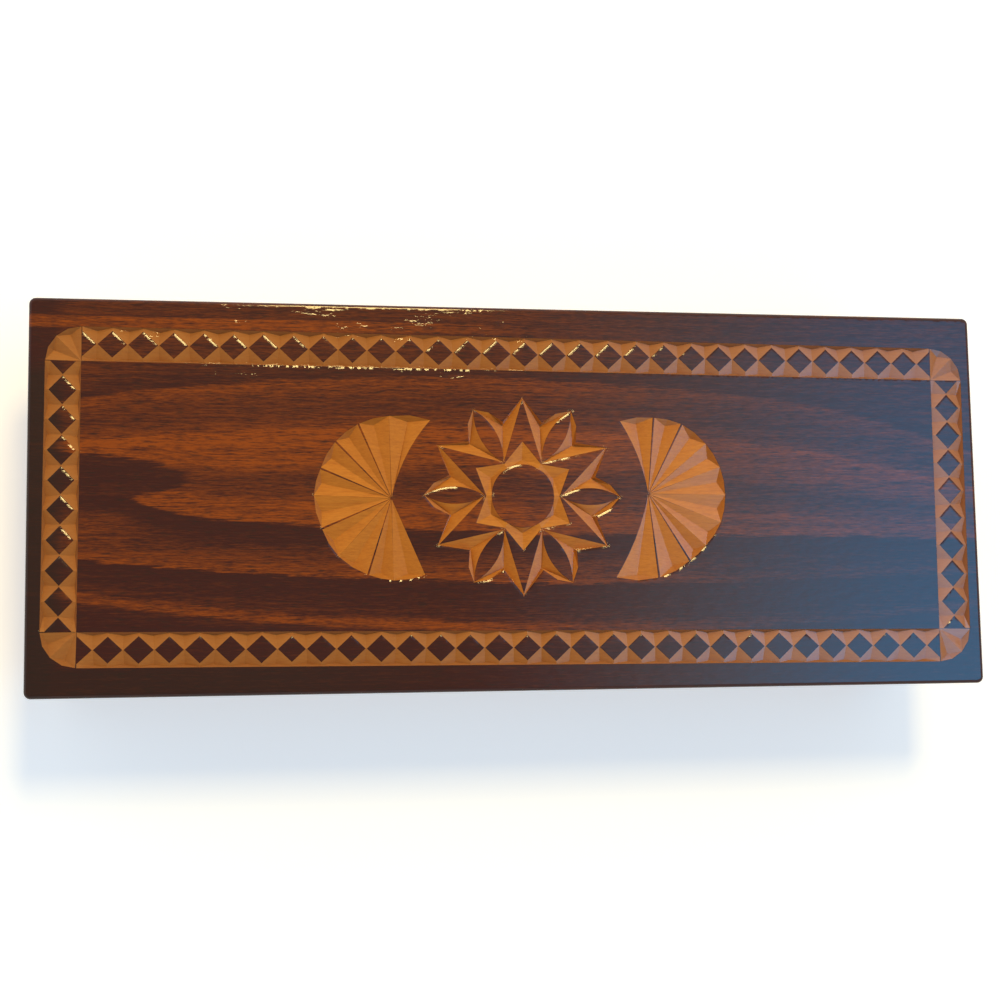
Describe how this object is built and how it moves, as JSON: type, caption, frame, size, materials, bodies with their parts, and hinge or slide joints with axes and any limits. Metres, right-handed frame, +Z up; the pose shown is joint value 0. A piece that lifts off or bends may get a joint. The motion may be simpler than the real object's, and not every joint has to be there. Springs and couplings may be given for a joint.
{
  "type": "pen box",
  "caption": "Long low wooden box for pens and papers, with a chip-carved lid that opens on two brass butt hinges along the back.",
  "frame": {"origin": "centre of the box's footprint, on the surface that it stands on", "axes": "+X along the length to the right, +Y from the front to the hinged back, +Z up"},
  "size_m": [0.233, 0.093, 0.045],
  "materials": {
    "stained_carved_wood": "dark stain under glossy lacquer, cut through to golden wood by the carving",
    "stained_wood": "dark stain under glossy lacquer outside, bare wood inside",
    "bottom_wood": "bare wood",
    "brass": "plain brass, a little dulled",
    "steel": "plain steel wire"
  },
  "bodies": {
    "case": {"front_wall": "stained_wood", "back_wall": "stained_wood", "left_end_wall": "stained_wood", "right_end_wall": "stained_wood", "bottom_panel": "bottom_wood", "bottom_brads": "steel", "left_hinge_wall_leaf": "brass", "left_hinge_pin": "brass", "left_hinge_wall_screws": "brass", "right_hinge_wall_leaf": "brass", "right_hinge_pin": "brass", "right_hinge_wall_screws": "brass"},
    "lid": {"lid_panel": "stained_carved_wood", "left_hinge_lid_leaf": "brass", "left_hinge_lid_screws": "brass", "right_hinge_lid_leaf": "brass", "right_hinge_lid_screws": "brass"}
  },
  "joints": [
    {"name": "lid_hinge", "type": "hinge", "parent": "case", "child": "lid", "pos_m": [0, 0.0445, 0.036], "axis": [-1, 0, 0], "range_deg": [0, 115]}
  ]
}
